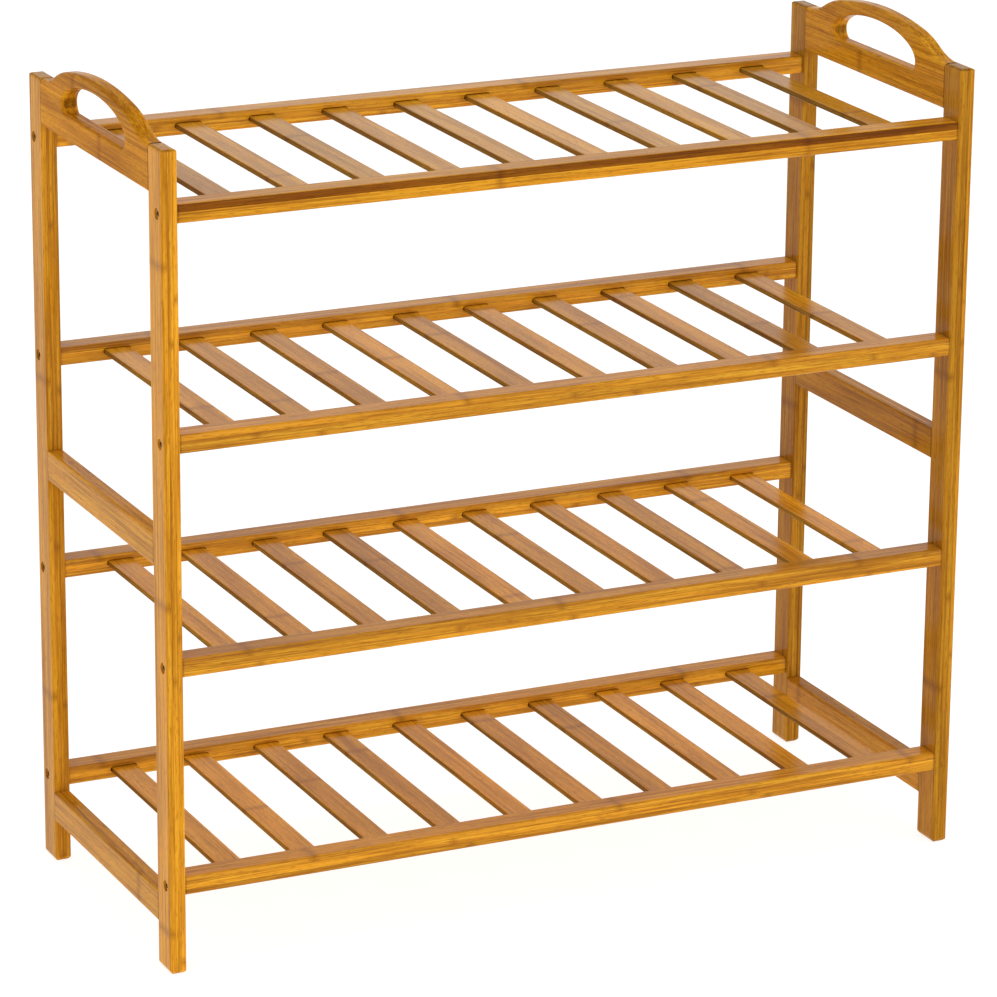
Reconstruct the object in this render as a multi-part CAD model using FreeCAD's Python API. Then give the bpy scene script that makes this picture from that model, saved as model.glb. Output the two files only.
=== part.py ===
import FreeCAD, Part
import math
import os

# Tiered bamboo shoe rack: two end frames joined by the eight rails of four slatted shelves.
# Units are millimetres. The origin is on the floor under the middle of the rack.
# +X runs along the length to the right, +Y runs to the back, +Z is up.

Vector = FreeCAD.Vector
ORIGIN = Vector(0, 0, 0)
X_AXIS = Vector(1, 0, 0)
Y_AXIS = Vector(0, 1, 0)
Z_AXIS = Vector(0, 0, 1)
DIAGONAL = Vector(1, 1, 1)

# Overall size
RACK_LENGTH = 700.0
RACK_DEPTH = 286.0
POST_HEIGHT = 665.0

# Posts
POST_WIDTH = 13.5  # along X
POST_DEPTH = 26.0  # along Y
POST_EDGE_RADIUS = 2.0
POST_JOINT_EDGE_RADIUS = 0.6  # edges of the side that the end frame's boards butt against
POST_FOOT_RADIUS = 5.0
POST_TOP_RADIUS = 3.0

# Shelf rails
SHELF_COUNT = 4
FIRST_SHELF_TOP = 80.5
SHELF_SPACING = 180.5
SHELF_RAIL_HEIGHT = 15.0
SHELF_RAIL_DEPTH = 22.0
SHELF_RAIL_INSET = 1.5  # how far a shelf rail stands back from the post's outer face
SHELF_RAIL_EDGE_RADIUS = 2.2

# Slats and the mortises that hold their ends
SLATS_PER_SHELF = 10
SLAT_PITCH = 63.9
SLAT_WIDTH = 21.5
SLAT_THICKNESS = 4.5
SLAT_EDGE_RADIUS = 1.0
SLAT_TENON_LENGTH = 12.0
MORTISE_WIDTH = 23.5
MORTISE_HEIGHT = 5.3
MORTISE_DEPTH = 12.5
MORTISE_FLOOR_BELOW_RAIL_TOP = 9.6

# Flat cross rails of the end frames
CROSS_RAIL_HEIGHT = 25.5
CROSS_RAIL_EDGE_RADIUS = 2.0
BOTTOM_CROSS_RAIL_UNDERSIDE = 37.0
MIDDLE_CROSS_RAIL_UNDERSIDE = 332.0

# Handle boards of the end frames, heights measured from the top of the posts
HANDLE_UNDERSIDE = -37.5
HANDLE_CROWN = 22.5
HANDLE_CROWN_RADIUS = 332.0
HANDLE_CROWN_SLOPE = 10.7  # degrees, where the crown turns into the shoulders
HANDLE_SHOULDER_RADIUS = 92.0
HANDLE_NECK_SLOPE = 28.6  # degrees, where the shoulders turn into the hollow necks
HANDLE_CROWN_EDGE_RADIUS = 3.5
HANDLE_UNDERSIDE_EDGE_RADIUS = 2.0
GRIP_HALF_WIDTH = 67.0
GRIP_FLOOR = -16.5
GRIP_CROWN = 12.0
GRIP_CORNER_RADIUS = 7.0
GRIP_EDGE_RADIUS = 3.0

# Connector screws, one through a post into each end of each shelf rail
SCREW_FROM_POST_FACE = 9.5
SCREW_HEAD_DIAMETER = 8.2
SCREW_HEAD_HEIGHT = 3.2
SCREW_HEAD_SUNK = 1.2
SCREW_HEAD_CHAMFER = 0.4
SCREW_SHANK_DIAMETER = 5.0
SCREW_SHANK_LENGTH = 37.0
SCREW_TIP_LENGTH = 3.0
SCREW_TIP_DIAMETER = 2.0
SCREW_SOCKET_ACROSS_CORNERS = 4.6
SCREW_SOCKET_DEPTH = 2.4
SCREW_RECESS_DIAMETER = 9.0
SCREW_BORE_DIAMETER = 5.1
SCREW_BORE_END_GAP = 0.5

# Glued dowels, two in each end of each board of the end frames
DOWEL_DIAMETER = 6.0
DOWEL_LENGTH = 24.0
DOWEL_END_CHAMFER = 0.8
DOWEL_BORE_DIAMETER = 6.1
DOWEL_BORE_DEPTH = 12.5
CROSS_RAIL_DOWEL_SPACING = 13.0
HANDLE_DOWEL_SPACING = 18.0

# Positions that follow from the dimensions above
POST_MIDDLE_X = (RACK_LENGTH - POST_WIDTH) / 2
POST_MIDDLE_Y = (RACK_DEPTH - POST_DEPTH) / 2
POST_INNER_X = RACK_LENGTH / 2 - POST_WIDTH
POST_INNER_Y = RACK_DEPTH / 2 - POST_DEPTH
SHELF_RAIL_MIDDLE_Y = RACK_DEPTH / 2 - SHELF_RAIL_INSET - SHELF_RAIL_DEPTH / 2
SHELF_RAIL_INNER_Y = SHELF_RAIL_MIDDLE_Y - SHELF_RAIL_DEPTH / 2
SCREW_Y = RACK_DEPTH / 2 - SCREW_FROM_POST_FACE
SCREW_RECESS_DEPTH = SCREW_HEAD_SUNK + SCREW_HEAD_HEIGHT
SCREW_LENGTH = SCREW_HEAD_HEIGHT + SCREW_SHANK_LENGTH + SCREW_TIP_LENGTH
SCREW_BORE_LENGTH = SCREW_HEAD_SUNK + SCREW_LENGTH + SCREW_BORE_END_GAP
BOTTOM_CROSS_RAIL_Z = BOTTOM_CROSS_RAIL_UNDERSIDE + CROSS_RAIL_HEIGHT / 2
MIDDLE_CROSS_RAIL_Z = MIDDLE_CROSS_RAIL_UNDERSIDE + CROSS_RAIL_HEIGHT / 2
HANDLE_DOWELS_Z = POST_HEIGHT + HANDLE_UNDERSIDE / 2

TOLERANCE = 0.01

ENDS = (("left", -1), ("right", 1))
SIDES = (("front", -1), ("back", 1))


def moved(shape, x, y, z):
    """Copy of a shape, shifted."""
    copy = shape.copy()
    copy.translate(Vector(x, y, z))
    return copy


def along_x(shape):
    """Turn a shape that stands on Z to run along +X, with its X turned to Y and its Y to Z."""
    turned = shape.copy()
    turned.rotate(ORIGIN, DIAGONAL, 120)
    return turned


def along_y(shape):
    """Turn a shape that stands on Z to run along +Y, with its X turned to Z and its Y to X."""
    turned = shape.copy()
    turned.rotate(ORIGIN, DIAGONAL, -120)
    return turned


def turned_about_z(shape):
    """Half a turn about the Z axis."""
    turned = shape.copy()
    turned.rotate(ORIGIN, Z_AXIS, 180)
    return turned


def bar(width, height, length, radii):
    """Bar standing on the XY plane, its section centred on the Z axis.

    radii are the section's corner radii, anticlockwise from the corner at +X +Y.
    """
    corners = ((1, 1), (-1, 1), (-1, -1), (1, -1))
    arcs = []
    for index, (sign_x, sign_y) in enumerate(corners):
        radius = radii[index]
        centre = Vector(sign_x * (width / 2 - radius), sign_y * (height / 2 - radius), 0)
        angle = 90.0 * index
        arcs.append(Part.makeCircle(radius, centre, Z_AXIS, angle, angle + 90.0))
    outline = []
    for arc, next_arc in zip(arcs, arcs[1:] + arcs[:1]):
        outline.append(arc)
        start = arc.Vertexes[1].Point
        end = next_arc.Vertexes[0].Point
        if start.distanceToPoint(end) > TOLERANCE:
            outline.append(Part.makeLine(start, end))
    return Part.Face(Part.Wire(outline)).extrude(Z_AXIS * length)


def shelf_top(shelf):
    """Height of the top of a shelf's rails; shelves count from 1 at the bottom."""
    return FIRST_SHELF_TOP + (shelf - 1) * SHELF_SPACING


def screw_height(shelf):
    """Height of a shelf's connector screws, at the middle of its rails."""
    return shelf_top(shelf) - SHELF_RAIL_HEIGHT / 2


def dowel_heights():
    """Heights of the dowels in a post, for the bottom and middle cross rails and the handle."""
    heights = []
    for middle, spacing in (
        (BOTTOM_CROSS_RAIL_Z, CROSS_RAIL_DOWEL_SPACING),
        (MIDDLE_CROSS_RAIL_Z, CROSS_RAIL_DOWEL_SPACING),
        (HANDLE_DOWELS_Z, HANDLE_DOWEL_SPACING),
    ):
        heights.append(middle - spacing / 2)
        heights.append(middle + spacing / 2)
    return heights


def post_blank(side_sign):
    """Post with rounded edges, foot and top, standing on the XY plane around the Z axis."""
    edge = POST_EDGE_RADIUS
    joint = POST_JOINT_EDGE_RADIUS
    foot = POST_FOOT_RADIUS
    top = POST_TOP_RADIUS
    plan_radii = (joint, joint, edge, edge) if side_sign < 0 else (edge, edge, joint, joint)
    plan = bar(POST_WIDTH, POST_DEPTH, POST_HEIGHT, plan_radii)
    front_view = along_y(bar(POST_HEIGHT, POST_WIDTH, POST_DEPTH, (top, foot, foot, top)))
    side_view = along_x(bar(POST_DEPTH, POST_HEIGHT, POST_WIDTH, (top, top, foot, foot)))
    blank = plan.common(moved(front_view, 0, -POST_DEPTH / 2, POST_HEIGHT / 2))
    return blank.common(moved(side_view, -POST_WIDTH / 2, 0, POST_HEIGHT / 2))


def screw_cutter(end_sign, side_sign, shelf):
    """Stepped hole for one connector screw, entering through a post's outer face."""
    recess = Part.makeCylinder(SCREW_RECESS_DIAMETER / 2, SCREW_RECESS_DEPTH)
    bore = Part.makeCylinder(SCREW_BORE_DIAMETER / 2, SCREW_BORE_LENGTH)
    cutter = along_x(recess.fuse(bore))
    if end_sign > 0:
        cutter = turned_about_z(cutter)
    return moved(cutter, end_sign * RACK_LENGTH / 2, side_sign * SCREW_Y, screw_height(shelf))


def dowel_cutter(end_sign, side_sign, height):
    """Hole for one dowel, as deep in the post as in the board."""
    cutter = along_y(Part.makeCylinder(DOWEL_BORE_DIAMETER / 2, 2 * DOWEL_BORE_DEPTH))
    joint_y = side_sign * POST_INNER_Y
    return moved(cutter, end_sign * POST_MIDDLE_X, joint_y - DOWEL_BORE_DEPTH, height)


def post(end_sign, side_sign):
    """Corner post with its screw holes and dowel holes."""
    blank = moved(post_blank(side_sign), end_sign * POST_MIDDLE_X, side_sign * POST_MIDDLE_Y, 0)
    cutters = []
    for shelf in range(1, SHELF_COUNT + 1):
        cutters.append(screw_cutter(end_sign, side_sign, shelf))
    for height in dowel_heights():
        cutters.append(dowel_cutter(end_sign, side_sign, height))
    return blank.cut(cutters)


def board_dowel_cutters(end_sign, heights):
    """Dowel holes in both ends of an end frame's board."""
    cutters = []
    for _, side_sign in SIDES:
        for height in heights:
            cutters.append(dowel_cutter(end_sign, side_sign, height))
    return cutters


def cross_rail(end_sign, middle_z):
    """Flat rail of an end frame, butted between its two posts."""
    radius = CROSS_RAIL_EDGE_RADIUS
    length = 2 * POST_INNER_Y
    blank = along_y(bar(CROSS_RAIL_HEIGHT, POST_WIDTH, length, (radius, radius, radius, radius)))
    blank = moved(blank, end_sign * POST_MIDDLE_X, -POST_INNER_Y, middle_z)
    heights = (
        middle_z - CROSS_RAIL_DOWEL_SPACING / 2,
        middle_z + CROSS_RAIL_DOWEL_SPACING / 2,
    )
    return blank.cut(board_dowel_cutters(end_sign, heights))


def point_on_bend(start, radius, start_slope, slope):
    """Point where a falling curve reaches a slope, in degrees; a hollow bend's radius is minus."""
    run = math.sin(math.radians(slope)) - math.sin(math.radians(start_slope))
    rise = math.cos(math.radians(slope)) - math.cos(math.radians(start_slope))
    return start + Vector(0, radius * run, radius * rise)


def handle_half_top():
    """Edges of a handle board's top from its middle to the back post, Z from the post tops."""
    crown_slope = HANDLE_CROWN_SLOPE
    neck_slope = HANDLE_NECK_SLOPE
    crown = Vector(0, 0, HANDLE_CROWN)
    shoulder = point_on_bend(crown, HANDLE_CROWN_RADIUS, 0, crown_slope)
    neck = point_on_bend(shoulder, HANDLE_SHOULDER_RADIUS, crown_slope, neck_slope)
    neck_radius = -neck.z / (1 - math.cos(math.radians(neck_slope)))
    level = point_on_bend(neck, neck_radius, neck_slope, 0)
    bends = (
        (crown, HANDLE_CROWN_RADIUS, 0, crown_slope, shoulder),
        (shoulder, HANDLE_SHOULDER_RADIUS, crown_slope, neck_slope, neck),
        (neck, neck_radius, neck_slope, 0, level),
    )
    edges = []
    for start, radius, start_slope, end_slope, end in bends:
        middle = point_on_bend(start, radius, start_slope, (start_slope + end_slope) / 2)
        edges.append(Part.Arc(start, middle, end).toShape())
    edges.append(Part.makeLine(level, Vector(0, POST_INNER_Y, 0)))
    return edges


def handle_outline():
    """Closed outline of a handle board in the YZ plane, Z measured from the post tops."""
    back_half = handle_half_top()
    front_half = [edge.mirror(ORIGIN, Y_AXIS) for edge in back_half]
    back_corner = Vector(0, POST_INNER_Y, HANDLE_UNDERSIDE)
    front_corner = Vector(0, -POST_INNER_Y, HANDLE_UNDERSIDE)
    rest = [
        Part.makeLine(Vector(0, POST_INNER_Y, 0), back_corner),
        Part.makeLine(back_corner, front_corner),
        Part.makeLine(front_corner, Vector(0, -POST_INNER_Y, 0)),
    ]
    return Part.Wire(list(reversed(front_half)) + back_half + rest)


def grip_outline():
    """Closed outline of the hand hole: a flat floor with rounded corners under an arch."""
    spring_line = GRIP_FLOOR + GRIP_CORNER_RADIUS
    arch_end = Vector(0, GRIP_HALF_WIDTH, spring_line)
    arch_start = Vector(0, -GRIP_HALF_WIDTH, spring_line)
    arch = Part.Ellipse(arch_end, Vector(0, 0, GRIP_CROWN), Vector(0, 0, spring_line))
    floor_half = GRIP_HALF_WIDTH - GRIP_CORNER_RADIUS
    floor_end = Vector(0, floor_half, GRIP_FLOOR)
    floor_start = Vector(0, -floor_half, GRIP_FLOOR)
    reach = GRIP_CORNER_RADIUS * math.sqrt(0.5)
    end_corner = Vector(0, floor_half + reach, spring_line - reach)
    start_corner = Vector(0, -floor_half - reach, spring_line - reach)
    return Part.Wire(
        [
            Part.Arc(arch, 0.0, math.pi).toShape(),
            Part.Arc(arch_start, start_corner, floor_start).toShape(),
            Part.makeLine(floor_start, floor_end),
            Part.Arc(floor_end, end_corner, arch_end).toShape(),
        ]
    )


def face_edges_in(shape, half_width, bottom, top):
    """Edges of a board's two flat faces within a height range and a distance of the middle."""
    found = []
    for edge in shape.Edges:
        box = edge.BoundBox
        on_flat_face = box.XLength < TOLERANCE
        within_width = max(abs(box.YMin), abs(box.YMax)) < half_width + TOLERANCE
        within_height = box.ZMin > bottom - TOLERANCE and box.ZMax < top + TOLERANCE
        if on_flat_face and within_width and within_height:
            found.append(edge)
    return found


def handle_board(end_sign):
    """Arched board between the post tops, with a hand hole and rounded edges."""
    thickness = X_AXIS * POST_WIDTH
    board = Part.Face(handle_outline()).extrude(thickness)
    board = board.cut(Part.Face(grip_outline()).extrude(thickness))
    grip_edges = face_edges_in(board, GRIP_HALF_WIDTH, GRIP_FLOOR, GRIP_CROWN)
    board = board.makeFillet(GRIP_EDGE_RADIUS, grip_edges)
    crown_edges = face_edges_in(board, POST_INNER_Y, 0.0, HANDLE_CROWN)
    board = board.makeFillet(HANDLE_CROWN_EDGE_RADIUS, crown_edges)
    underside_edges = face_edges_in(board, POST_INNER_Y, HANDLE_UNDERSIDE, HANDLE_UNDERSIDE)
    board = board.makeFillet(HANDLE_UNDERSIDE_EDGE_RADIUS, underside_edges)
    board = moved(board, end_sign * POST_MIDDLE_X - POST_WIDTH / 2, 0, POST_HEIGHT)
    heights = (
        HANDLE_DOWELS_Z - HANDLE_DOWEL_SPACING / 2,
        HANDLE_DOWELS_Z + HANDLE_DOWEL_SPACING / 2,
    )
    return board.cut(board_dowel_cutters(end_sign, heights))


def shelf_rail(side_sign, shelf):
    """Long rail of a shelf, with mortises for the slats and a screw hole in each end."""
    radius = SHELF_RAIL_EDGE_RADIUS
    length = 2 * POST_INNER_X
    radii = (radius, radius, radius, radius)
    blank = along_x(bar(SHELF_RAIL_DEPTH, SHELF_RAIL_HEIGHT, length, radii))
    middle_y = side_sign * SHELF_RAIL_MIDDLE_Y
    blank = moved(blank, -POST_INNER_X, middle_y, screw_height(shelf))
    cutters = [mortise(side_sign, shelf, x) for x in slat_positions()]
    for _, end_sign in ENDS:
        cutters.append(screw_cutter(end_sign, side_sign, shelf))
    return blank.cut(cutters)


def slat_positions():
    """X of the middle of each slat of a shelf, from left to right."""
    first = -(SLATS_PER_SHELF - 1) / 2 * SLAT_PITCH
    return [first + index * SLAT_PITCH for index in range(SLATS_PER_SHELF)]


def mortise(side_sign, shelf, x):
    """Slot with round ends, cut into the inner side of a shelf rail."""
    radius = MORTISE_HEIGHT / 2
    slot = along_y(
        bar(MORTISE_HEIGHT, MORTISE_WIDTH, 2 * MORTISE_DEPTH, (radius, radius, radius, radius))
    )
    middle_z = shelf_top(shelf) - MORTISE_FLOOR_BELOW_RAIL_TOP + radius
    return moved(slot, x, side_sign * SHELF_RAIL_INNER_Y - MORTISE_DEPTH, middle_z)


def slat(shelf, x):
    """Thin slat resting on the floors of a mortise in the front rail and one in the back."""
    radius = SLAT_EDGE_RADIUS
    half_length = SHELF_RAIL_INNER_Y + SLAT_TENON_LENGTH
    radii = (radius, radius, radius, radius)
    blank = along_y(bar(SLAT_THICKNESS, SLAT_WIDTH, 2 * half_length, radii))
    middle_z = shelf_top(shelf) - MORTISE_FLOOR_BELOW_RAIL_TOP + SLAT_THICKNESS / 2
    return moved(blank, x, -half_length, middle_z)


def screw_blank():
    """Hex socket screw standing on its head's outer face, its tip pointing up."""
    head = SCREW_HEAD_DIAMETER / 2
    shank = SCREW_SHANK_DIAMETER / 2
    chamfer = SCREW_HEAD_CHAMFER
    shank_end = SCREW_HEAD_HEIGHT + SCREW_SHANK_LENGTH
    profile = (
        Vector(0, 0, 0),
        Vector(head - chamfer, 0, 0),
        Vector(head, 0, chamfer),
        Vector(head, 0, SCREW_HEAD_HEIGHT),
        Vector(shank, 0, SCREW_HEAD_HEIGHT),
        Vector(shank, 0, shank_end),
        Vector(SCREW_TIP_DIAMETER / 2, 0, SCREW_LENGTH),
        Vector(0, 0, SCREW_LENGTH),
        Vector(0, 0, 0),
    )
    body = Part.Face(Part.makePolygon(profile)).revolve(ORIGIN, Z_AXIS, 360)
    corners = []
    for index in range(7):
        angle = math.radians(60 * index)
        reach = SCREW_SOCKET_ACROSS_CORNERS / 2
        corners.append(Vector(reach * math.cos(angle), reach * math.sin(angle), 0))
    socket = Part.Face(Part.makePolygon(corners)).extrude(Z_AXIS * SCREW_SOCKET_DEPTH)
    return body.cut(socket)


def connector_screws():
    """All the connector screws, each a separate solid."""
    pointing_right = along_x(screw_blank())
    head_x = RACK_LENGTH / 2 - SCREW_HEAD_SUNK
    screws = []
    for _, end_sign in ENDS:
        screw = pointing_right if end_sign < 0 else turned_about_z(pointing_right)
        for _, side_sign in SIDES:
            for shelf in range(1, SHELF_COUNT + 1):
                y = side_sign * SCREW_Y
                screws.append(moved(screw, end_sign * head_x, y, screw_height(shelf)))
    return Part.makeCompound(screws)


def frame_dowels():
    """All the dowels of both end frames, each a separate solid."""
    radius = DOWEL_DIAMETER / 2
    cylinder = Part.makeCylinder(radius, DOWEL_LENGTH)
    rims = [edge for edge in cylinder.Edges if edge.BoundBox.ZLength < TOLERANCE]
    dowel = along_y(cylinder.makeChamfer(DOWEL_END_CHAMFER, rims))
    dowels = []
    for _, end_sign in ENDS:
        for _, side_sign in SIDES:
            y = side_sign * POST_INNER_Y - DOWEL_LENGTH / 2
            for height in dowel_heights():
                dowels.append(moved(dowel, end_sign * POST_MIDDLE_X, y, height))
    return Part.makeCompound(dowels)


def only_solid(shape):
    """The one solid of a shape that a cut may have wrapped in a compound."""
    if len(shape.Solids) != 1:
        raise ValueError("expected one solid")
    return shape.Solids[0]


def end_frame_parts():
    """Named posts and boards of both end frames."""
    parts = {}
    for end, end_sign in ENDS:
        for side, side_sign in SIDES:
            parts[f"{end}_{side}_post"] = only_solid(post(end_sign, side_sign))
        parts[f"{end}_bottom_rail"] = only_solid(cross_rail(end_sign, BOTTOM_CROSS_RAIL_Z))
        parts[f"{end}_middle_rail"] = only_solid(cross_rail(end_sign, MIDDLE_CROSS_RAIL_Z))
        parts[f"{end}_handle_board"] = only_solid(handle_board(end_sign))
    return parts


def shelf_parts():
    """Named rails and slats of all the shelves."""
    parts = {}
    for shelf in range(1, SHELF_COUNT + 1):
        for side, side_sign in SIDES:
            parts[f"shelf_{shelf}_{side}_rail"] = only_solid(shelf_rail(side_sign, shelf))
        for number, x in enumerate(slat_positions(), start=1):
            parts[f"shelf_{shelf}_slat_{number:02d}"] = slat(shelf, x)
    return parts


def main():
    """Write every part as its own STEP file."""
    os.makedirs("parts", exist_ok=True)
    parts = end_frame_parts()
    parts.update(shelf_parts())
    parts["connector_screws"] = connector_screws()
    parts["frame_dowels"] = frame_dowels()
    for name, shape in parts.items():
        shape.exportStep(f"parts/{name}.step")


main()
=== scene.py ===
from collections import namedtuple
import math
import random

import bpy
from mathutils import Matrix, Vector


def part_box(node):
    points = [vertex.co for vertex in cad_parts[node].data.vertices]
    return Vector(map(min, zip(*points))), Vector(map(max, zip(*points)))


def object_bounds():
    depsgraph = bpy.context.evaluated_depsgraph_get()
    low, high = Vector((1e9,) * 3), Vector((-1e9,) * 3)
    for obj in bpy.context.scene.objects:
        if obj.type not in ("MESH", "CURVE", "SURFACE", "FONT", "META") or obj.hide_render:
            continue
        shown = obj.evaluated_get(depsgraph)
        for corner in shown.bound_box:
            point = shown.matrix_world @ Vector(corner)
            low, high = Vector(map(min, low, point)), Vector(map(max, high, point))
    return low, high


# Looks of the tiered bamboo shoe rack: laminated, carbonised bamboo under satin lacquer.
# Lengths are in metres. +X runs along the rack, +Y to its back, +Z up.

MILLIMETRE = 0.001

# Camera
CAMERA_POSITION = (-1.642, -3.468, 1.540)
CAMERA_ROTATION_DEGREES = (72.177, -0.471, -25.158)
CAMERA_LENS = 177.66
CAMERA_SENSOR = 36.0
CAMERA_CLIP_START = 0.05
CAMERA_CLIP_END = 60.0

# Stage
FLOOR_HALF_SIZE = 14.0
FLOOR_COLOUR = (0.40, 0.40, 0.40, 1.0)
FLOOR_ROUGHNESS = 0.9
FLOOR_GLOW_COLOUR = (1.0, 1.0, 1.0, 1.0)
FLOOR_GLOW = 0.82
WORLD_HORIZON = (0.90, 0.90, 0.90, 1.0)
WORLD_ZENITH = (0.55, 0.55, 0.55, 1.0)
WORLD_ZENITH_HEIGHT = 0.8

# Softboxes, all aimed at the middle of the rack: position, width, height and power
Softbox = namedtuple("Softbox", "position width height power")
SOFTBOXES = {
    "front_key": Softbox((1.2, -3.6, 1.7), 2.4, 1.8, 30.0),
    "overhead": Softbox((0.0, 0.0, 3.6), 2.4, 2.4, 18.0),
    "back_sheen": Softbox((1.6, 3.6, 1.45), 3.0, 1.2, 1.5),
}

# Bamboo colours, linear
HONEY = (0.730, 0.300, 0.014)
AMBER = (0.500, 0.192, 0.008)
STRAW = (0.830, 0.405, 0.024)
CHESTNUT = (0.290, 0.094, 0.004)
DARK_PLY_TINT = (0.36, 0.25, 0.10)  # what a dark ply leaves of a colour

# Noise cells of the grain: length along it, width across it
DRIFT_CELL = (160.0 * MILLIMETRE, 14.0 * MILLIMETRE)
BAND_CELL = (220.0 * MILLIMETRE, 3.4 * MILLIMETRE)
FIBRE_CELL = (70.0 * MILLIMETRE, 1.3 * MILLIMETRE)
VESSEL_CELL = (9.0 * MILLIMETRE, 0.9 * MILLIMETRE)
WANDER_CELL = (50.0 * MILLIMETRE, 6.0 * MILLIMETRE)
LACQUER_CELL = (20.0 * MILLIMETRE, 4.0 * MILLIMETRE)

# Noise values between which each mark of the grain goes from absent to full
DRIFT_RANGE = (0.34, 0.66)
LIGHT_BAND_RANGE = (0.50, 0.66)
DARK_BAND_RANGE = (0.48, 0.30)
LIGHT_FIBRE_RANGE = (0.52, 0.68)
DARK_FIBRE_RANGE = (0.46, 0.28)
VESSEL_RANGE = (0.52, 0.68)
STREAK_STRENGTH = 0.70
VESSEL_STRENGTH = 0.50
VESSEL_DEPTH = 0.4  # against the height of the fibres
NOISE_DETAIL = 3.0
VESSEL_DETAIL = 2.0
NOISE_ROUGHNESS = 0.6

# Shifts along the grain, so that pieces, plies and strips don't repeat each other
SEEDS = (1, 90)
SEED_SHIFT = 613.0 * MILLIMETRE
CELL_SHIFT = 3.1
TONE_SEED_SHIFT = 0.5  # makes a ply's random tone differ from its random shift

# Culm joints: a thin dark line in a wider brown band, at distances that wander a little
CULM_SPACING = 270.0 * MILLIMETRE
CULM_SHIFT = 3.7 * CULM_SPACING
CULM_WANDER = 6.0 * MILLIMETRE
CULM_BAND = (7.0 * MILLIMETRE, 1.0 * MILLIMETRE)
CULM_BAND_STRENGTH = 0.40
CULM_LINE = (1.4 * MILLIMETRE, 0.4 * MILLIMETRE)
CULM_LINE_STRENGTH = 0.24

# Edges of the plies, strips and pieces, and how much of the brightness they leave
CELL_MARGIN = 0.4 * MILLIMETRE  # keeps a piece's outer faces inside its outer plies and strips
GLUE_LINE = 0.2 * MILLIMETRE
GLUE_SHADE = 0.78
END_EDGE = 0.8 * MILLIMETRE  # painted contact shade, on lacquer built up darker, where a piece ends or butts against another
END_EDGE_LACQUER_AND_PAINTED_SHADE = 0.65

# How squarely a face has to look along an axis to count as a face of that kind
BROAD_FACING = (0.3, 0.8)
SIDE_FACING = (0.60, 0.90)
END_FACING = (0.75, 0.95)

# Lacquer
LACQUER_RANGE = (0.3, 0.7)
SATIN_ROUGHNESS = (0.14, 0.22)
MATT_EXTRA_ROUGHNESS = 0.6
RELIEF_STRENGTH = 0.25
RELIEF_HEIGHT = 0.1 * MILLIMETRE

# Kinds of bamboo stock. axes names the grain axis, the axis across the broad face and the axis
# through the plies. contrast is the spread of tone from ply to ply; broad_contrast is what the
# streaks keep of their strength on the broad faces; the shades are the brightness of the narrow
# sides and the end grain, which on the posts is raised into a painted highlight on their tops;
# dark_ply gives one ply's two heights above the piece's underside.
Stock = namedtuple(
    "Stock",
    "axes gloss plies strips tint contrast broad_contrast side_shade end_shade matt_sides dark_ply",
    defaults=(1, 1, (1.0, 1.0, 1.0), 0.12, 0.85, 1.0, 1.0, False, None),
)
# The posts' end grain factor above 1 brightens their tops: a painted highlight
POST = Stock("ZYX", gloss=0.07, plies=3, contrast=0.20, end_shade=1.28)
CROSS_RAIL = Stock("YZX", gloss=0.06, plies=3)
HANDLE_BOARD = {
    "left": Stock("YZX", gloss=0.015, plies=3, strips=3, tint=(1.0, 0.92, 0.70), end_shade=0.55),
    "right": Stock("YZX", gloss=0.030, plies=3, strips=3, tint=(1.0, 1.0, 1.1), end_shade=0.55),
}
SHELF_RAIL = Stock("XYZ", gloss=0.12, plies=3)
TWO_TONE_RAIL = Stock("XYZ", gloss=0.07, dark_ply=(8.8 * MILLIMETRE, 14.6 * MILLIMETRE))
SLAT = Stock("YXZ", gloss=0.12, tint=(1.0, 1.04, 1.0), broad_contrast=0.6, side_shade=0.42,
             matt_sides=True)

# Brightness of the pieces, which don't all come from the same boards, and its random spread.
# The right posts and cross rails are darker partly in their own tone and partly as painted shade
# of the right end frame's inner faces; the slats are brighter the lower their shelf, painted light
# that makes up for the shade of the shelves above.
POST_TONES_AND_PAINTED_SHADE = {"left_front": 0.98, "left_back": 0.86, "right_front": 0.74, "right_back": 0.70}
POST_SPREAD = (0.98, 1.04)
# Right cross rails darker: partly painted shade of the right end frame's inner faces
CROSS_RAIL_TONES_AND_PAINTED_SHADE = {"left": 1.0, "right": 0.78}
CROSS_RAIL_SPREAD = (0.94, 1.02)
HANDLE_TONES = {"left": 0.86, "right": 1.01}
TWO_TONE_RAIL_NAME = "shelf_4_front_rail"
TWO_TONE_RAIL_TONE = 1.04
SHELF_RAIL_SPREAD = (0.96, 1.06)
# Lower shelves' slats brighter: painted light making up for the shade of the shelves above
SLAT_TONES_AND_PAINTED_LIGHT = {"1": 1.13, "2": 1.09, "3": 1.05, "4": 0.95}
SLAT_SPREAD = (0.90, 1.10)

# Bare beech of the dowels, its grain along Y
BEECH_DARK = (0.52, 0.34, 0.18)
BEECH_LIGHT = (0.70, 0.52, 0.32)
BEECH_CELL = {"X": 0.5 * MILLIMETRE, "Y": 12.0 * MILLIMETRE, "Z": 0.5 * MILLIMETRE}
BEECH_ROUGHNESS = 0.7

# Yellow zinc of the screws
ZINC_DARK = (0.30, 0.17, 0.05)
ZINC_LIGHT = (0.74, 0.52, 0.22)
ZINC_SCALE = 900.0
ZINC_PATCH_RANGE = (0.2, 0.8)
ZINC_ROUGHNESS = (0.22, 0.42)

RANDOM_SEED = 4

Grain = namedtuple("Grain", "along wide through own cell_random cell_tone joint to_end facing")


def feed_socket(tree, socket, value):
    """Link a socket to another, or set its value."""
    if isinstance(value, bpy.types.NodeSocket):
        tree.links.new(value, socket)
    else:
        socket.default_value = value


def feed(tree, node, values):
    """Link or set a node's inputs in order."""
    for socket, value in zip(node.inputs, values):
        feed_socket(tree, socket, value)


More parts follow.
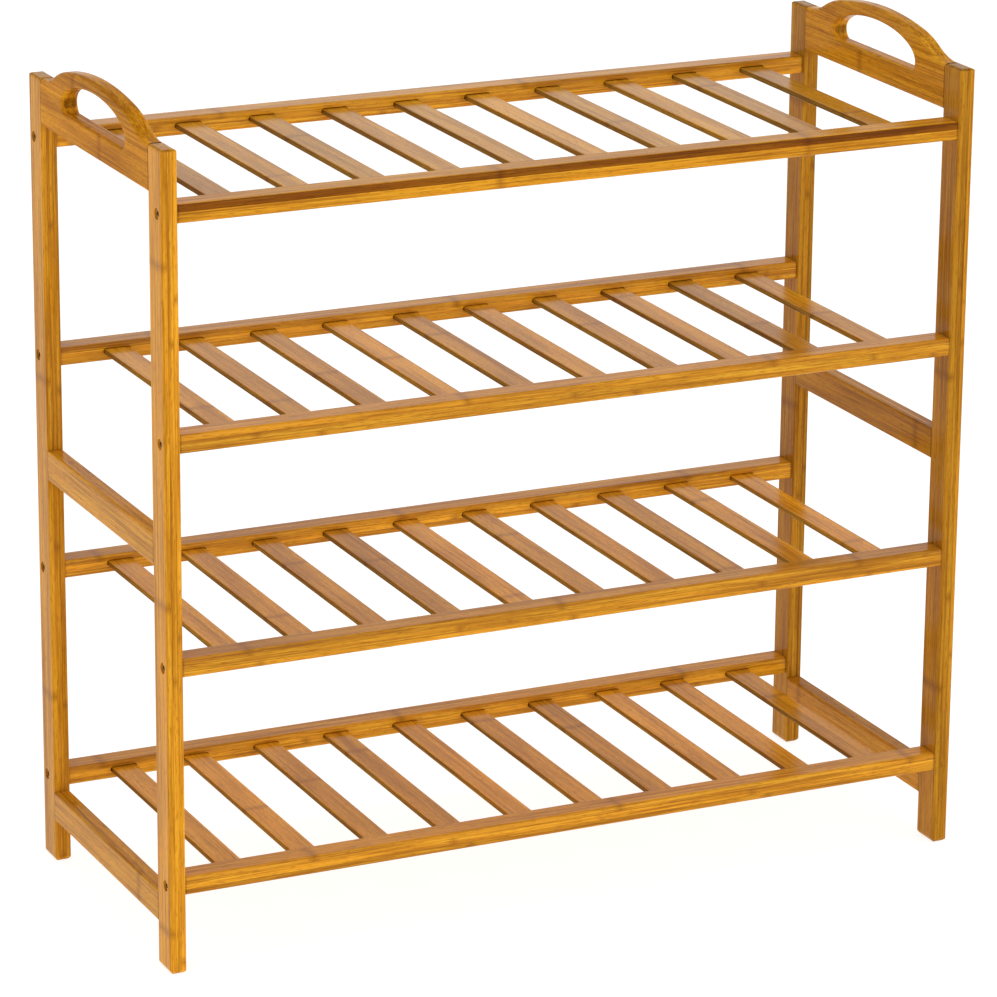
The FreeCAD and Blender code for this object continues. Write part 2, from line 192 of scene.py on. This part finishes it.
def maths(tree, operation, *values):
    """Maths node's result."""
    node = tree.nodes.new("ShaderNodeMath")
    node.operation = operation
    feed(tree, node, values)
    return node.outputs[0]


def smooth_step(tree, value, low, high):
    """0 below low, 1 above high, and a smooth rise between; a fall when low is above high."""
    node = tree.nodes.new("ShaderNodeMapRange")
    node.interpolation_type = "SMOOTHSTEP"
    feed(tree, node, (value, low, high, 0.0, 1.0))
    return node.outputs[0]


def fit_range(tree, value, low, high, new_low, new_high):
    """Value carried from one range to another."""
    node = tree.nodes.new("ShaderNodeMapRange")
    feed(tree, node, (value, low, high, new_low, new_high))
    return node.outputs[0]


def combine(tree, x, y, z):
    """Vector from three numbers."""
    node = tree.nodes.new("ShaderNodeCombineXYZ")
    feed(tree, node, (x, y, z))
    return node.outputs[0]


def by_axis(tree, vector):
    """The three numbers of a vector, under the names of their axes."""
    node = tree.nodes.new("ShaderNodeSeparateXYZ")
    feed(tree, node, (vector,))
    return dict(zip("XYZ", node.outputs))


def coordinates(tree, kind):
    """Texture coordinates of a kind."""
    return tree.nodes.new("ShaderNodeTexCoord").outputs[kind]


def noise(tree, vector, scale=1.0, detail=NOISE_DETAIL):
    """Noise value between 0 and 1."""
    node = tree.nodes.new("ShaderNodeTexNoise")
    feed_socket(tree, node.inputs["Vector"], vector)
    node.inputs["Scale"].default_value = scale
    node.inputs["Detail"].default_value = detail
    node.inputs["Roughness"].default_value = NOISE_ROUGHNESS
    return node.outputs["Fac"]


def random_value(tree, vector):
    """One random number for each vector."""
    node = tree.nodes.new("ShaderNodeTexWhiteNoise")
    feed_socket(tree, node.inputs["Vector"], vector)
    return node.outputs["Value"]


def mix_colour(tree, factor, first, second, blend="MIX"):
    """Two colours mixed."""
    node = tree.nodes.new("ShaderNodeMix")
    node.data_type = "RGBA"
    node.blend_type = blend
    colour_sockets = [socket for socket in node.inputs if socket.type == "RGBA"]
    feed_socket(tree, node.inputs["Factor"], factor)
    feed_socket(tree, colour_sockets[0], first)
    feed_socket(tree, colour_sockets[1], second)
    return next(socket for socket in node.outputs if socket.type == "RGBA")


def opaque(colour):
    """Colour with an alpha of 1."""
    return (*colour, 1.0)


def tinted(tree, colour, amount, strength, tint):
    """Colour moved towards a tint, by an amount that varies and a strength that doesn't."""
    return mix_colour(tree, maths(tree, "MULTIPLY", amount, strength), colour, opaque(tint))


def cells(tree, distance, low, high, count):
    """Number of the equal layer that a distance falls in, and how far it is from a joint."""
    size = (high - low + 2 * CELL_MARGIN) / count
    place = maths(tree, "DIVIDE", maths(tree, "SUBTRACT", distance, low - CELL_MARGIN), size)
    to_joint = maths(tree, "MULTIPLY", maths(tree, "PINGPONG", place, 0.5), size)
    return maths(tree, "FLOOR", place), to_joint


def grain_of(tree, name, stock, seed):
    """Where a point lies in the grain, strips and plies of a piece."""
    position = by_axis(tree, coordinates(tree, "Object"))
    normal = by_axis(tree, coordinates(tree, "Normal"))
    (low_end, wide_low, ply_low), (high_end, wide_high, ply_high) = [
        [corner["XYZ".index(axis)] for axis in stock.axes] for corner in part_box(name)
    ]
    lengthwise, wide, through = [position[axis] for axis in stock.axes]
    along = maths(tree, "ADD", lengthwise, seed * SEED_SHIFT)
    strip, strip_joint = cells(tree, wide, wide_low, wide_high, stock.strips)
    ply, ply_joint = cells(tree, through, ply_low, ply_high, stock.plies)
    cell_random = random_value(tree, combine(tree, ply, strip, float(seed)))
    cell_tone = random_value(tree, combine(tree, strip, seed + TONE_SEED_SHIFT, ply))
    return Grain(
        along=along,
        wide=wide,
        through=through,
        own=maths(tree, "MULTIPLY_ADD", cell_random, CELL_SHIFT, along),
        cell_random=cell_random,
        cell_tone=cell_tone,
        joint=maths(tree, "MINIMUM", strip_joint, ply_joint),
        to_end=maths(
            tree,
            "MINIMUM",
            maths(tree, "SUBTRACT", lengthwise, low_end),
            maths(tree, "SUBTRACT", high_end, lengthwise),
        ),
        facing=[maths(tree, "ABSOLUTE", normal[axis]) for axis in stock.axes],
    )


def stretched(tree, along, grain, cell):
    """Grain space squeezed so that one noise cell has the cell's length and width."""
    length, width = cell
    return combine(
        tree,
        maths(tree, "DIVIDE", along, length),
        maths(tree, "DIVIDE", grain.wide, width),
        maths(tree, "DIVIDE", grain.through, width),
    )


def fibre_colour(tree, grain, broad_contrast):
    """Colour of the fibres: slow drift, long bands, fine fibres and short dark vessels."""
    drift = noise(tree, stretched(tree, grain.own, grain, DRIFT_CELL))
    bands = noise(tree, stretched(tree, grain.own, grain, BAND_CELL))
    fibres = noise(tree, stretched(tree, grain.own, grain, FIBRE_CELL))
    vessels = noise(tree, stretched(tree, grain.own, grain, VESSEL_CELL), detail=VESSEL_DETAIL)
    dark_vessels = smooth_step(tree, vessels, *VESSEL_RANGE)
    # Streaks are strong where plies are seen edge on, and softer on the broad faces
    contrast = fit_range(tree, grain.facing[2], *BROAD_FACING, 1.0, broad_contrast)
    colour = mix_colour(tree, smooth_step(tree, drift, *DRIFT_RANGE), opaque(AMBER), opaque(HONEY))
    for marks, mark_range, tint in (
        (bands, LIGHT_BAND_RANGE, STRAW),
        (bands, DARK_BAND_RANGE, CHESTNUT),
        (fibres, LIGHT_FIBRE_RANGE, STRAW),
        (fibres, DARK_FIBRE_RANGE, CHESTNUT),
    ):
        softened = maths(tree, "MULTIPLY", smooth_step(tree, marks, *mark_range), contrast)
        colour = tinted(tree, colour, softened, STREAK_STRENGTH, tint)
    colour = tinted(tree, colour, dark_vessels, VESSEL_STRENGTH, CHESTNUT)
    relief = maths(tree, "SUBTRACT", fibres, maths(tree, "MULTIPLY", dark_vessels, VESSEL_DEPTH))
    return colour, relief


def with_culm_joints(tree, grain, colour):
    """Colour with the culm's joints, at a place of its own in each ply and strip."""
    wander = noise(tree, stretched(tree, grain.along, grain, WANDER_CELL))
    bent = maths(tree, "MULTIPLY_ADD", wander, CULM_WANDER, grain.along)
    shifted = maths(tree, "MULTIPLY_ADD", grain.cell_random, CULM_SHIFT, bent)
    distance = maths(tree, "PINGPONG", shifted, CULM_SPACING / 2)
    band = smooth_step(tree, distance, *CULM_BAND)
    line = smooth_step(tree, distance, *CULM_LINE)
    colour = tinted(tree, colour, band, CULM_BAND_STRENGTH, CHESTNUT)
    return tinted(tree, colour, line, CULM_LINE_STRENGTH, CHESTNUT)


def piece_shade(tree, grain, stock, tone_and_painted_light):
    """Brightness of the plies, glue lines, end grain, narrow sides and the edges of the ends; the
    edges of the ends hold painted contact shade and the post tops a painted highlight.
    """
    darkest = tone_and_painted_light * (1 - stock.contrast)
    lightest = tone_and_painted_light * (1 + stock.contrast)
    shade = fit_range(tree, grain.cell_tone, 0.0, 1.0, darkest, lightest)
    glue = smooth_step(tree, grain.joint, 2 * GLUE_LINE, 0.5 * GLUE_LINE)
    # End grain: darker on the handle boards, brighter on the post tops as a painted highlight
    end_grain = smooth_step(tree, grain.facing[0], *END_FACING)
    # Painted contact shade, on darker lacquer, near where a piece ends or butts against another
    end_lacquer_and_painted_shade = smooth_step(tree, grain.to_end, 2 * END_EDGE, END_EDGE)
    side = smooth_step(tree, grain.facing[1], *SIDE_FACING)
    for amount, factor in (
        (glue, GLUE_SHADE),
        (end_grain, stock.end_shade),
        (end_lacquer_and_painted_shade, END_EDGE_LACQUER_AND_PAINTED_SHADE),
        (side, stock.side_shade),
    ):
        shade = maths(tree, "MULTIPLY", shade, fit_range(tree, amount, 0.0, 1.0, 1.0, factor))
    return shade


def with_dark_ply(tree, grain, colour, bottom, top):
    """Colour with one dark ply between two heights."""
    above = smooth_step(tree, grain.through, bottom - GLUE_LINE, bottom + GLUE_LINE)
    below = smooth_step(tree, grain.through, top + GLUE_LINE, top - GLUE_LINE)
    dark = mix_colour(tree, 1.0, colour, opaque(DARK_PLY_TINT), "MULTIPLY")
    return mix_colour(tree, maths(tree, "MULTIPLY", above, below), colour, dark)


def lacquer(tree, shader, grain, stock, relief):
    """Satin lacquer, a little uneven, over slightly raised fibres; narrow sides may be matt."""
    cloud = noise(tree, stretched(tree, grain.along, grain, LACQUER_CELL))
    roughness = fit_range(tree, cloud, *LACQUER_RANGE, *SATIN_ROUGHNESS)
    if stock.matt_sides:
        side = smooth_step(tree, grain.facing[1], *SIDE_FACING)
        roughness = maths(tree, "MULTIPLY_ADD", side, MATT_EXTRA_ROUGHNESS, roughness)
    bump = tree.nodes.new("ShaderNodeBump")
    bump.inputs["Strength"].default_value = RELIEF_STRENGTH
    bump.inputs["Distance"].default_value = RELIEF_HEIGHT
    tree.links.new(relief, bump.inputs["Height"])
    tree.links.new(bump.outputs["Normal"], shader.inputs["Normal"])
    tree.links.new(roughness, shader.inputs["Roughness"])
    shader.inputs["Specular IOR Level"].default_value = stock.gloss


def new_material(name):
    """Material with its node tree and shader."""
    material = bpy.data.materials.new(name)
    material.use_nodes = True
    tree = material.node_tree
    return material, tree, tree.nodes["Principled BSDF"]


def bamboo(name, stock, seed, tone_and_painted_light):
    """Lacquered bamboo for one piece, with its own plies, strips, fibres and culm joints."""
    material, tree, shader = new_material(name)
    grain = grain_of(tree, name, stock, seed)
    colour, relief = fibre_colour(tree, grain, stock.broad_contrast)
    colour = with_culm_joints(tree, grain, colour)
    colour = mix_colour(tree, 1.0, colour, opaque(stock.tint), "MULTIPLY")
    shade = piece_shade(tree, grain, stock, tone_and_painted_light)
    colour = mix_colour(tree, 1.0, colour, combine(tree, shade, shade, shade), "MULTIPLY")
    if stock.dark_ply is not None:
        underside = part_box(name)[0].z
        bottom, top = [underside + height for height in stock.dark_ply]
        colour = with_dark_ply(tree, grain, colour, bottom, top)
    tree.links.new(colour, shader.inputs["Base Color"])
    lacquer(tree, shader, grain, stock, relief)
    return material


def bare_beech(name):
    """Plain turned beech for the hidden dowels."""
    material, tree, shader = new_material(name)
    place = by_axis(tree, coordinates(tree, "Object"))
    squeezed = [maths(tree, "DIVIDE", place[axis], BEECH_CELL[axis]) for axis in "XYZ"]
    fibres = noise(tree, combine(tree, *squeezed))
    colour = mix_colour(tree, fibres, opaque(BEECH_DARK), opaque(BEECH_LIGHT))
    tree.links.new(colour, shader.inputs["Base Color"])
    shader.inputs["Roughness"].default_value = BEECH_ROUGHNESS
    return material


def yellow_zinc(name):
    """Yellow zinc plate with duller patches."""
    material, tree, shader = new_material(name)
    patches = noise(tree, coordinates(tree, "Object"), scale=ZINC_SCALE)
    colour = mix_colour(tree, patches, opaque(ZINC_DARK), opaque(ZINC_LIGHT))
    roughness = fit_range(tree, patches, *ZINC_PATCH_RANGE, *ZINC_ROUGHNESS)
    tree.links.new(colour, shader.inputs["Base Color"])
    tree.links.new(roughness, shader.inputs["Roughness"])
    shader.inputs["Metallic"].default_value = 1.0
    return material


def dress(node, material):
    """Give a CAD node's object one material."""
    node.data.materials.clear()
    node.data.materials.append(material)


def end_frame_looks(nodes, draw):
    """Materials of the posts, cross rails and handle boards."""
    for end in ("left", "right"):
        for side in ("front", "back"):
            name = f"{end}_{side}_post"
            # The right posts' lower tones hold painted shade of the right end frame's inner faces
            tone_and_painted_light = POST_TONES_AND_PAINTED_SHADE[f"{end}_{side}"] * draw.uniform(*POST_SPREAD)
            dress(nodes[name], bamboo(name, POST, draw.randrange(*SEEDS), tone_and_painted_light))
        for board in ("bottom_rail", "middle_rail"):
            name = f"{end}_{board}"
            tone_and_painted_light = CROSS_RAIL_TONES_AND_PAINTED_SHADE[end] * draw.uniform(*CROSS_RAIL_SPREAD)
            dress(nodes[name], bamboo(name, CROSS_RAIL, draw.randrange(*SEEDS), tone_and_painted_light))
        name = f"{end}_handle_board"
        seed = draw.randrange(*SEEDS)
        dress(nodes[name], bamboo(name, HANDLE_BOARD[end], seed, HANDLE_TONES[end]))


def shelf_looks(nodes, draw):
    """Materials of the shelves' rails and slats."""
    for name in sorted(nodes):
        if not name.startswith("shelf_"):
            continue
        seed = draw.randrange(*SEEDS)
        if name == TWO_TONE_RAIL_NAME:
            material = bamboo(name, TWO_TONE_RAIL, seed, TWO_TONE_RAIL_TONE)
        elif name.endswith("_rail"):
            material = bamboo(name, SHELF_RAIL, seed, draw.uniform(*SHELF_RAIL_SPREAD))
        else:
            shelf = name.split("_")[1]
            # The shelf-by-shelf brightness of the slats holds painted light
            material = bamboo(name, SLAT, seed, SLAT_TONES_AND_PAINTED_LIGHT[shelf] * draw.uniform(*SLAT_SPREAD))
        dress(nodes[name], material)


def floor():
    """Plain pale floor, glowing a little so that it stays white under the rack."""
    material, _, shader = new_material("studio_floor")
    shader.inputs["Base Color"].default_value = FLOOR_COLOUR
    shader.inputs["Roughness"].default_value = FLOOR_ROUGHNESS
    shader.inputs["Specular IOR Level"].default_value = 0.0
    shader.inputs["Emission Color"].default_value = FLOOR_GLOW_COLOUR
    shader.inputs["Emission Strength"].default_value = FLOOR_GLOW
    mesh = bpy.data.meshes.new("studio_floor")
    size = FLOOR_HALF_SIZE
    corners = [(-size, -size, 0), (size, -size, 0), (size, size, 0), (-size, size, 0)]
    mesh.from_pydata(corners, [], [(0, 1, 2, 3)])
    mesh.materials.append(material)
    plane = bpy.data.objects.new("studio_floor", mesh)
    bpy.context.scene.collection.objects.link(plane)


def world_light():
    """White surroundings, brightest near the horizon."""
    world = bpy.data.worlds.new("studio")
    bpy.context.scene.world = world
    world.use_nodes = True
    tree = world.node_tree
    height = by_axis(tree, coordinates(tree, "Generated"))["Z"]
    rise = smooth_step(tree, height, 0.0, WORLD_ZENITH_HEIGHT)
    colour = mix_colour(tree, rise, WORLD_HORIZON, WORLD_ZENITH)
    tree.links.new(colour, tree.nodes["Background"].inputs["Color"])


def softbox(name, box, target):
    """Rectangular area light aimed at a point."""
    light = bpy.data.lights.new(name, "AREA")
    light.shape = "RECTANGLE"
    light.size = box.width
    light.size_y = box.height
    light.energy = box.power
    lamp = bpy.data.objects.new(name, light)
    lamp.location = box.position
    aim = target - Vector(box.position)
    lamp.rotation_euler = aim.to_track_quat("-Z", "Y").to_euler()
    bpy.context.scene.collection.objects.link(lamp)


def camera():
    """Camera at the viewing angle from the front left, above the rack."""
    lens = bpy.data.cameras.new("camera")
    lens.lens = CAMERA_LENS
    lens.sensor_width = CAMERA_SENSOR
    lens.clip_start = CAMERA_CLIP_START
    lens.clip_end = CAMERA_CLIP_END
    view = bpy.data.objects.new("camera", lens)
    view.location = CAMERA_POSITION
    view.rotation_euler = [math.radians(angle) for angle in CAMERA_ROTATION_DEGREES]
    bpy.context.scene.collection.objects.link(view)
    bpy.context.scene.camera = view


def colour_management():
    """Plain display transform, so that the saturated lacquer keeps its colour."""
    settings = bpy.context.scene.view_settings
    settings.view_transform = "Standard"
    settings.look = "None"


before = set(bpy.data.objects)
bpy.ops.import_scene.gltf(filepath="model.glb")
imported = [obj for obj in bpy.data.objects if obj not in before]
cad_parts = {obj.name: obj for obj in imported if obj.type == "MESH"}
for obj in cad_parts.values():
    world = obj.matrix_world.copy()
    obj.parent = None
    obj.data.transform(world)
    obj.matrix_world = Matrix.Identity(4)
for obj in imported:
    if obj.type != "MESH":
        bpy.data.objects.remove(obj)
cad_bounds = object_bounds()
middle = (Vector(cad_bounds[0]) + Vector(cad_bounds[1])) / 2
draw = random.Random(RANDOM_SEED)
end_frame_looks(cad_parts, draw)
shelf_looks(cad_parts, draw)
dress(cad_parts["connector_screws"], yellow_zinc("yellow_zinc"))
dress(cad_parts["frame_dowels"], bare_beech("bare_beech"))
floor()
world_light()
for name, box in SOFTBOXES.items():
    softbox(name, box, middle)
camera()
colour_management()
